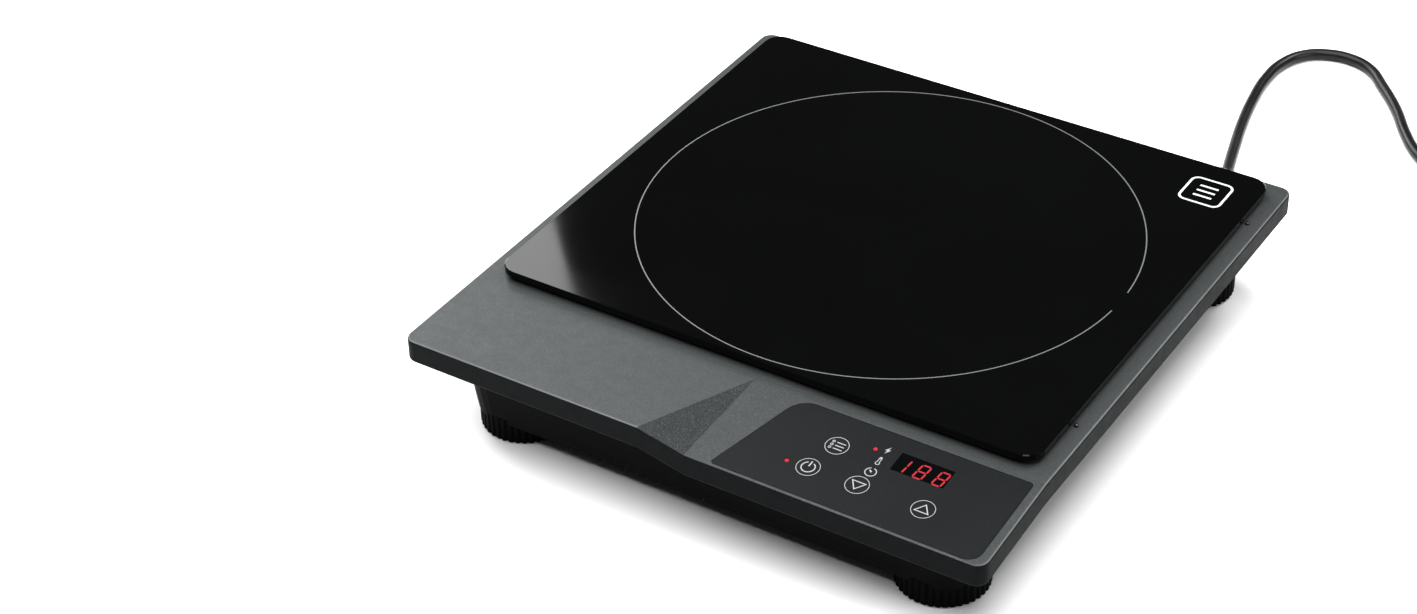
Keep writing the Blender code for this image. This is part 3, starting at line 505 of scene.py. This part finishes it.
def wound_copper():
    """Enamelled litz wire laid in a flat spiral."""
    paint = Paint("wound_copper", (0.62, 0.26, 0.12), 0.34, 0.9)
    turn = paint.rings(ZONE_CENTRE, 0.0026)
    strand = paint.noise(1.0, 2.0, paint.squeeze((2600.0, 2600.0, 600.0)))
    paint.set("Base Color", paint.blend(turn, (0.16, 0.05, 0.02), (0.66, 0.29, 0.14)))
    paint.set("Roughness", paint.span(strand, 0.3, 0.7, 0.26, 0.46))
    paint.bump(turn, 0.0006, 0.8)
    return paint.bump(strand, 0.0001, 0.5).material


def choke_wire():
    """Enamelled wire laid round a ring core."""
    paint = Paint("choke_wire", (0.5, 0.2, 0.08), 0.3, 0.9)
    strand = paint.noise(1.0, 1.0, paint.squeeze((1400.0, 1400.0, 60.0)))
    paint.set("Base Color", paint.blend(strand, (0.18, 0.06, 0.02), (0.60, 0.27, 0.12)))
    return paint.bump(strand, 0.0004, 0.8).material


def circuit_board():
    """Green solder mask over copper tracks, with small tinned pads."""
    paint = Paint("circuit_board", (0.02, 0.12, 0.04), 0.32)
    edge = paint.cells(150.0, "Distance", 'DISTANCE_TO_EDGE')
    track = paint.span(edge, 0.05, 0.09, 1.0, 0.0)
    mask = paint.blend(track, (0.010, 0.075, 0.028), (0.03, 0.17, 0.06))
    pad = paint.span(paint.cells(330.0, "Distance"), 0.14, 0.17, 1.0, 0.0)
    paint.set("Base Color", paint.blend(pad, mask, (0.62, 0.62, 0.60)))
    paint.set("Metallic", paint.math('MULTIPLY', pad, 0.9))
    return paint.bump(track, 0.00008, 0.5).material


def pressed(name, first, second, roughness=0.6, scale=260.0):
    """A mottled, slightly rough solid such as ferrite, mica or filled plastic."""
    paint = Paint(name, first, roughness)
    speck = paint.noise(scale, 5.0, distortion=0.4)
    paint.set("Base Color", paint.blend(paint.span(speck, 0.35, 0.65, 0.0, 1.0), first, second))
    paint.set("Roughness", paint.span(speck, 0.3, 0.7, roughness - 0.08, roughness + 0.1))
    return paint.bump(paint.noise(scale * 6, 3.0), 0.00006, 0.4).material


def ink(name, colour):
    """Screen-printed ink: a little uneven in tone."""
    paint = Paint(name, colour, 0.55)
    thin = tuple(c * 0.85 for c in colour)
    paint.set("Base Color", paint.blend(paint.noise(1300.0, 3.0), thin, colour))
    return paint.bump(paint.noise(3000.0), 0.00002, 0.2).material


def glow(name, colour, light):
    """A lit red segment or diode, a little uneven in its light."""
    paint = Paint(name, colour, 0.3)
    grain = paint.noise(2200.0, 2.0)
    paint.set("Emission Color", paint.blend(grain, light, tuple(min(1.0, c * 1.3) for c in light)))
    paint.set("Emission Strength", 1.0)
    paint.set("Specular IOR Level", 0.1)
    return paint.material


def make_materials():
    """Every material, under the name of its slot or of its ink."""
    return {
        "cover_paint": sparkle_paint(),
        "cooking_glass": cooking_glass(),
        "seal_silicone": rubber("seal_silicone", (0.010, 0.010, 0.010), 0.6),
        "panel_foil": panel_foil(),
        "display_window": display_window(),
        "key_foil": panel_foil("key_foil"),
        "led_red": glow("led_red", (0.2, 0.008, 0.012), (0.19, 0.011, 0.018)),
        "case_plastic": moulded_black("case_plastic", (0.0015, 0.0015, 0.0016), 0.5),
        "carrier_plastic": pressed("carrier_plastic", (0.62, 0.60, 0.54), (0.72, 0.70, 0.64)),
        "coil_copper": wound_copper(),
        "mica": pressed("mica", (0.55, 0.53, 0.46), (0.74, 0.72, 0.65), 0.5, 180.0),
        "sensor_silicone": rubber("sensor_silicone", (0.62, 0.62, 0.60), 0.5),
        "circuit_board": circuit_board(),
        "heatsink_aluminium": metal("heatsink_aluminium", (0.70, 0.71, 0.73), 0.36,
                                    (1500.0, 60.0, 1500.0)),
        "component_black": moulded_black("component_black", (0.02, 0.02, 0.021), 0.42),
        "film_capacitor": pressed("film_capacitor", (0.62, 0.42, 0.06), (0.70, 0.50, 0.09), 0.35),
        "choke_wire": choke_wire(),
        "fan_plastic": moulded_black("fan_plastic", (0.016, 0.016, 0.017), 0.4),
        "cord_rubber": cord_jacket(),
        "tie_nylon": moulded_black("tie_nylon", (0.02, 0.02, 0.02), 0.38),
        "plug_rubber": rubber("plug_rubber", (0.014, 0.014, 0.014), 0.55),
        "pad_rubber": rubber("pad_rubber", (0.016, 0.016, 0.016), 0.75),
        "screw_steel": metal("screw_steel", (0.58, 0.58, 0.57), 0.30),
        "screw_black": metal("screw_black", (0.055, 0.055, 0.058), 0.36),
        "ferrite": pressed("ferrite", (0.030, 0.030, 0.033), (0.055, 0.055, 0.060)),
        "white_ink": ink("white_ink", (0.23, 0.24, 0.25)),
        "grey_ink": ink("grey_ink", (0.085, 0.088, 0.09)),
        "mark_ink": ink("mark_ink", (0.50, 0.51, 0.52)),
        "lit_segment": glow("lit_segment", (0.1, 0.005, 0.008), (0.38, 0.020, 0.032)),
    }


def dress_nodes(materials):
    """Give every node of the model the material of its slot."""
    slots = {row["node"]: row["material_slot"] for row in frame["record"]["subparts"]}
    for node, obj in frame["nodes"].items():
        material = materials[slots[node]]
        for place in obj.material_slots:
            place.material = material


# ---------------------------------------------------------------- printing

def key_ring(shape):
    """The printed ring round a key."""
    end = math.tau * (1 - 1 / KEY_RING_STEPS)
    ribbon(shape, arc((0, 0), KEY_RING, 0, end, KEY_RING_STEPS - 1), KEY_RING_LINE, True)


def power_symbol(shape):
    """An open ring with a short bar through its gap."""
    ribbon(shape, arc((0, 0), 0.0034, math.radians(116), math.radians(424), 40), 0.0006)
    ribbon(shape, [(0, 0.0006), (0, 0.0043)], 0.0007)


def function_symbol(shape):
    """Three dots, each with its line: a choice from a list."""
    for y in (0.0022, 0.0000, -0.0022):
        dot = [(a - 0.0029, b + y) for a, b in arc((0, 0), 0.00062, 0, math.radians(345), 23)]
        ribbon(shape, dot, 0.0004, True)
        ribbon(shape, [(-0.0011, y), (0.0037, y)], 0.00055)


def arrow_symbol(sign):
    """A triangle that points away from the user, or towards them."""
    def draw(shape):
        corners = [(-0.0036, -0.0021 * sign), (0.0036, -0.0021 * sign), (0.0, 0.0031 * sign)]
        ribbon(shape, corners, 0.00055, True)
    return draw


def bolt_symbol(shape):
    """A small flash."""
    outline = [(0.0008, 0.0026), (-0.0014, -0.0004), (-0.0001, -0.0002), (-0.0006, -0.0026),
               (0.0015, 0.0005), (0.0002, 0.0004)]
    patch(shape, outline)


def thermometer_symbol(shape):
    """A bulb with its tube, drawn as one outline and filled at the top."""
    bulb = arc((-0.0001, -0.0016), 0.00105, math.radians(125), math.radians(415), 20)
    ribbon(shape, bulb + [(0.0005, 0.0018), (-0.0007, 0.0018)], 0.0004, True)
    patch(shape, arc((-0.0001, 0.0021), 0.00075, 0, math.radians(345), 23))


def clock_symbol(shape):
    """An open ring with two hands."""
    ribbon(shape, arc((0, 0), 0.0028, math.radians(110), math.radians(440), 36), 0.0005)
    ribbon(shape, [(-0.0011, 0.0012), (0.0, 0.0001), (0.0002, 0.0009)], 0.0006)


def make_key_prints(white):
    """Each key's ring and sign, riding on the key itself."""
    symbols = {"key_power": power_symbol, "key_function": function_symbol,
               "key_down": arrow_symbol(-1), "key_up": arrow_symbol(1)}
    for key, (x, y) in KEYS.items():
        shape = bmesh.new()
        key_ring(shape)
        symbols[key](shape)
        piece(key + "_print", shape, white, key, on_panel(x, y))


def make_mode_prints(white):
    """The three signs beside the display."""
    symbols = (("mode_power_print", bolt_symbol, BOLT),
               ("mode_heat_print", thermometer_symbol, THERMOMETER),
               ("mode_timer_print", clock_symbol, CLOCK))
    for name, draw, place in symbols:
        shape = bmesh.new()
        draw(shape)
        piece(name, shape, white, "hob", on_panel(*place))


def segment(shape, first, last, width):
    """One display segment: a bar with pointed ends."""
    a, b = Vector(first), Vector(last)
    along = (b - a).normalized()
    side = Vector((-along.y, along.x)) * width / 2
    tip = along * width / 2
    outline = [a, a + tip - side, b - tip - side, b, b - tip + side, a + tip + side]
    patch(shape, [tuple(p) for p in outline])


def make_digits(lit):
    """The three digits of the display, slanted and lit: 188."""
    width, height, lean, bar, gap = 0.0046, 0.0094, 0.115, 0.00090, 0.00022
    bars = {"a": ((0, 1), (1, 1)), "b": ((1, 1), (1, 0.5)), "c": ((1, 0.5), (1, 0)),
            "d": ((0, 0), (1, 0)), "e": ((0, 0.5), (0, 0)), "f": ((0, 1), (0, 0.5)),
            "g": ((0, 0.5), (1, 0.5))}
    shape = bmesh.new()
    for x, lit_bars in zip(DIGITS, ("bc", "abcdefg", "abcdefg")):
        for name in lit_bars:
            ends = []
            for u, v in bars[name]:
                across, up = (u - 0.5) * width, (v - 0.5) * height
                ends.append(Vector((x - DIGITS[1] + across + up * lean, up)))
            step = (ends[1] - ends[0]).normalized() * gap
            segment(shape, ends[0] + step, ends[1] - step, bar)
    piece("display_digits", shape, lit, "hob", on_panel(DIGITS[1], DIGITS_Y))


def make_glass_prints(grey, white):
    """The zone line, with its gap at the right, and a plain mark in the rear corner."""
    shape = bmesh.new()
    ribbon(shape, arc(ZONE_CENTRE, ZONE_RADIUS, *ZONE_ENDS, 240), ZONE_LINE)
    piece("zone_print", shape, grey, "hob", Matrix.Translation((0, 0, GLASS_TOP)))
    shape = bmesh.new()
    half, corner, line = 0.0115, 0.004, 0.0013
    bar_half, bar_line, bar_gap = 0.0052, 0.0014, 0.0048
    outline = []
    for i in range(4):
        centre = Vector((half - corner, half - corner))
        centre.rotate(Matrix.Rotation(math.tau * i / 4, 2))
        outline += arc(centre, corner, math.tau * i / 4, math.tau * (i + 1) / 4, 8)
    ribbon(shape, outline, line, True)
    for x in (-bar_gap, 0.0, bar_gap):
        ribbon(shape, [(x, -bar_half), (x, bar_half)], bar_line)
    turn = Matrix.Translation((*GLASS_MARK, GLASS_TOP)) @ Matrix.Rotation(math.pi / 2, 4, 'Z')
    piece("surface_mark", shape, white, "hob", turn)


# ---------------------------------------------------------------- small hardware

def cut_slots(obj, size, depth, matrices):
    """Cut crossed slots into a screw head, or bars into a moulding, one after another."""
    for matrix in matrices:
        shape = bmesh.new()
        bmesh.ops.create_cube(shape, size=1.0, matrix=matrix @ Matrix.Diagonal((*size, depth, 1)))
        mesh = bpy.data.meshes.new(obj.name + "_slot")
        shape.to_mesh(mesh)
        shape.free()
        tool = link(obj.name + "_slot", mesh)
        cut = obj.modifiers.new("slot", 'BOOLEAN')
        cut.solver = 'EXACT'
        cut.object = tool
        bpy.context.view_layer.update()
        graph = bpy.context.evaluated_depsgraph_get()
        made = bpy.data.meshes.new_from_object(obj.evaluated_get(graph))
        obj.modifiers.clear()
        obj.data = made
        bpy.data.objects.remove(tool, do_unlink=True)
    obj.data.shade_smooth()
    obj.data.set_sharp_from_angle(angle=SHARP_EDGE)


def make_glass_screws(finish):
    """Small cross-recessed dome heads beside the glass, each turned its own way."""
    profile = [(0.0, 0.00115), (0.0005, 0.00110), (0.0009, 0.00092), (0.00118, 0.0006),
               (0.0013, 0.0002), (0.0013, 0.0), (0.0008, 0.0), (0.0008, -0.0040), (0.0, -0.0045)]
    for end, y in GLASS_SCREW_Y.items():
        for side, x in (("left", -GLASS_SCREW_X), ("right", GLASS_SCREW_X)):
            corner = "%s_%s" % (end, side)
            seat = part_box("glass_screw_" + corner)[0][2] + GLASS_SCREW_SHANK
            shape = bmesh.new()
            lathe(shape, profile, 32)
            place = Matrix.Translation((x, y, seat)) @ Matrix.Rotation(0.4 + 9 * y, 4, 'Z')
            head = piece("screw_by_glass_" + corner, shape, finish,
                         "hob", place, ("glass_screw_" + corner,))
            slots = [place @ Matrix.Translation((0, 0, 0.0011)) @ Matrix.Rotation(a, 4, 'Z')
                     for a in (0.0, math.pi / 2)]
            cut_slots(head, (0.0013, 0.0003), 0.0008, slots)


def make_case_screws(finish):
    """Cross-recessed pan heads sunk into the underside, each turned its own way."""
    profile = [(0.0, 0.0), (0.0016, 0.0), (0.0024, 0.00025), (0.0029, 0.0008),
               (0.0031, 0.0014), (0.0031, 0.0018), (0.0012, 0.0018), (0.0012, 0.0160),
               (0.0008, 0.0172), (0.0, 0.0179)]
    for name in ("front_left", "front_right", "rear_left", "rear_right"):
        low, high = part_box("case_screw_" + name)
        x, y, z = (low[0] + high[0]) / 2, (low[1] + high[1]) / 2, low[2]
        shape = bmesh.new()
        lathe(shape, profile, 32)
        place = Matrix.Translation((x, y, z)) @ Matrix.Rotation(11 * x, 4, 'Z')
        screw = piece("case_fixing_" + name, shape, finish, "hob", place,
                      ("case_screw_" + name,))
        slots = [place @ Matrix.Rotation(a, 4, 'Z') for a in (0.0, math.pi / 2)]
        cut_slots(screw, (0.0032, 0.0007), 0.0022, slots)


def make_gland(finish):
    """Flanged strain relief with a ribbed taper, as a real gland has to bend with the cord."""
    start = Matrix.Translation((CORD_EXIT[0], GLAND_BACK, CORD_EXIT[2]))
    start = start @ Matrix.Rotation(-math.pi / 2, 4, 'X')
    profile = [(0.0036, 0.0010), (0.0073, 0.0010), (0.0076, 0.0013), (0.0076, 0.0033),
               (0.0073, 0.0036), (0.0049, 0.0036), (0.0049, 0.0078), (0.0073, 0.0078),
               (0.0076, 0.0081), (0.0076, 0.0095), (0.0072, 0.0099), (0.0065, 0.0101)]
    ribs, first, last = 7, 0.0106, 0.0292
    pitch = (last - first) / ribs
    for i in range(ribs):
        base = first + pitch * i
        wide = 0.0065 - 0.0019 * i / ribs
        profile += [(wide, base), (wide, base + pitch * 0.55), (wide - 0.0003, base + pitch * 0.62),
                    (wide - 0.0010, base + pitch * 0.66), (wide - 0.0010, base + pitch * 0.92),
                    (wide - 0.0003, base + pitch * 0.96)]
    profile += [(0.0046, last), (0.0045, 0.0305), (0.0041, 0.0312), (0.0036, 0.0312)]
    shape = bmesh.new()
    sleeve(shape, profile)
    return piece("strain_relief", shape, finish, "hob", start, ("cord_gland",))


def make_tie(finish):
    """A hook-and-loop strap round the coil, drawn as a closed band."""
    low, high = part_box("cord_tie")
    middle = Vector([(a + b) / 2 for a, b in zip(low, high)])
    half_y, half_z = (high[1] - low[1]) / 2, (high[2] - low[2]) / 2
    half_w = (high[0] - low[0]) / 2
    thick, corner = 0.0005, 0.0026
    outline = []
    for i in range(4):
        cy = (half_y - corner) * (1 if i in (0, 3) else -1)
        cz = (half_z - corner) * (1 if i in (0, 1) else -1)
        outline += arc((cy, cz), corner, math.pi / 2 * i, math.pi / 2 * (i + 1), 6)
    shape = bmesh.new()
    rows = []
    for y, z in outline:
        outer = Vector((y, z))
        inner = outer.copy()
        if abs(y) > half_y - corner - CLOSE:
            inner.x -= math.copysign(thick, y)
        if abs(z) > half_z - corner - CLOSE:
            inner.y -= math.copysign(thick, z)
        rows.append([shape.verts.new((x, *p)) for p, x in
                     ((outer, -half_w), (outer, half_w), (inner, half_w), (inner, -half_w))])
    skin(shape, zip(rows, rows[1:] + rows[:1]))
    return piece("coil_strap", shape, finish, "hob", Matrix.Translation(middle),
                 ("cord_tie",))


def make_plug(body_finish, pin_finish):
    """Round two-pin earthed plug: waisted grip, rim, face with earth strips, and pins."""
    place = Matrix.Translation(PLUG_START) @ Matrix.Rotation(math.pi / 2, 4, 'Y')
    profile = [(0.0, 0.0004), (0.0040, 0.0004), (0.0048, 0.0010), (0.0056, 0.0050)]
    for i in range(4):
        z = 0.0062 + 0.0026 * i
        wide = 0.0070 + 0.0016 * i
        profile += [(wide, z), (wide + 0.0005, z + 0.0008), (wide - 0.0003, z + 0.0018)]
    profile += [(0.0136, 0.0180), (0.0148, 0.0225), (0.0162, 0.0262), (0.0184, 0.0292),
                (0.0190, 0.0308), (0.0190, 0.0402), (0.0187, 0.0414), (0.0178, 0.0422),
                (0.0172, 0.0424), (0.0168, 0.0436), (0.0160, 0.0440), (0.0, 0.0440)]
    shape = bmesh.new()
    lathe(shape, profile, 64)
    body = piece("plug_body", shape, body_finish, "hob", place, ("plug",))
    flats = []
    for side in (-1, 1):
        for i in range(5):
            angle = Matrix.Rotation(side * math.pi / 2 + (i - 2) * 0.17, 4, 'Z')
            flats.append(place @ angle @ Matrix.Translation((0.0192, 0.0, 0.0355)))
    cut_slots(body, (0.0012, 0.0012), 0.0064, flats)
    shape = bmesh.new()
    for side in (-1, 1):
        spot = Matrix.Translation((0.0, side * 0.0095, 0.0))
        lathe(shape, [(0.0, 0.0400), (0.0024, 0.0400), (0.0024, 0.0612), (0.0021, 0.0624),
                      (0.0013, 0.0630), (0.0, 0.0630)], 24, spot)
    pins = piece("plug_pins", shape, pin_finish, "hob", place)
    shape = bmesh.new()
    for side in (-1, 1):
        spot = Matrix.Translation((side * 0.0156, 0.0, 0.04315))
        size = Matrix.Diagonal((0.0032, 0.0060, 0.0027, 1.0))
        bmesh.ops.create_cube(shape, size=1.0, matrix=spot @ size)
    bmesh.ops.bevel(shape, geom=shape.edges[:], offset=0.0004, segments=2, affect='EDGES')
    strips = piece("plug_earth_strips", shape, pin_finish, "hob", place)
    return body, pins, strips


# ---------------------------------------------------------------- cord

def eased(value, first, last):
    """A smooth step from 0 at first to 1 at last."""
    share = min(1.0, max(0.0, (value - first) / (last - first)))
    return share * share * (3 - 2 * share)


def coil_route():
    """Four turns: two side by side on the floor, then two on top of them.

    The shifts between turns and between layers are spread so that no turn meets another,
    and the last turn climbs over the one below it towards the plug.
    """
    points = []
    for turned in range(0, COIL_END + 1, COIL_STEP):
        inward = eased(turned, *SHIFT_IN) - eased(turned, *SHIFT_OUT)
        radius = COIL_OUTER + (COIL_INNER - COIL_OUTER) * inward
        height = COIL_LOW + (COIL_HIGH - COIL_LOW) * eased(turned, *SHIFT_UP)
        height += (TAIL_ROUTE[0][2] - COIL_HIGH) * eased(turned, *SHIFT_OFF)
        angle = COIL_START + math.radians(turned)
        points.append((COIL_CENTRE[0] + radius * math.cos(angle),
                       COIL_CENTRE[1] + radius * math.sin(angle), height))
    return points


def make_cord(materials):
    """The whole mains lead, from the gland round its coil to the plug."""
    route = list(CORD_ROUTE) + coil_route() + list(TAIL_ROUTE)
    curve = bpy.data.curves.new("mains_lead", 'CURVE')
    curve.dimensions = '3D'
    curve.bevel_depth = CORD_DIAMETER / 2
    curve.bevel_resolution = 6
    curve.resolution_u = 6
    curve.use_fill_caps = True
    spline = curve.splines.new('BEZIER')
    spline.bezier_points.add(len(route) - 1)
    for point, place in zip(spline.bezier_points, route):
        point.co = place
        point.handle_left_type = 'AUTO'
        point.handle_right_type = 'AUTO'
    curve.materials.append(materials["cord_rubber"])
    lead = link("mains_lead", curve)
    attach(lead, "hob")
    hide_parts("mains_cord", "mains_cord_tail", "cord_coil")


# ---------------------------------------------------------------- studio

def add_light(name, place, target, size, power):
    """A rectangular lamp aimed at a point."""
    lamp = bpy.data.lights.new(name, 'AREA')
    lamp.shape = 'RECTANGLE'
    lamp.size, lamp.size_y = size
    lamp.energy = power
    obj = link(name, lamp)
    obj.location = place
    aim = Vector(target) - Vector(place)
    obj.rotation_euler = aim.to_track_quat('-Z', 'Y').to_euler()


def make_studio():
    """A white floor, four lamps and a faint even sky."""
    scene = bpy.context.scene
    scene.view_settings.view_transform = 'Standard'
    world = bpy.data.worlds.new("studio")
    world.use_nodes = True
    world.node_tree.nodes["Background"].inputs["Color"].default_value = (1.0, 1.0, 1.0, 1.0)
    world.node_tree.nodes["Background"].inputs["Strength"].default_value = 0.05
    scene.world = world
    shape = bmesh.new()
    bmesh.ops.create_grid(shape, x_segments=1, y_segments=1, size=6.0)
    paint = Paint("floor", (0.84, 0.84, 0.84), 0.9)
    tone = paint.noise(0.8, 2.0)
    paint.set("Base Color", paint.blend(tone, (0.835, 0.836, 0.838), (0.85, 0.85, 0.85)))
    floor = from_bmesh("floor", shape, paint.material, smooth=False)
    for name, row in LAMPS.items():
        add_light(name, *row)


def main():
    """Dress the model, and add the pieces."""
    make_camera()
    materials = make_materials()
    dress_nodes(materials)
    gland = make_gland(materials["cord_rubber"])
    strap = make_tie(materials["tie_nylon"])
    plug = make_plug(materials["plug_rubber"], materials["screw_steel"])
    make_cord(materials)
    make_glass_screws(materials["screw_black"])
    make_case_screws(materials["screw_steel"])
    make_key_prints(materials["white_ink"])
    make_mode_prints(materials["white_ink"])
    make_digits(materials["lit_segment"])
    make_glass_prints(materials["grey_ink"], materials["mark_ink"])
    make_studio()


main()
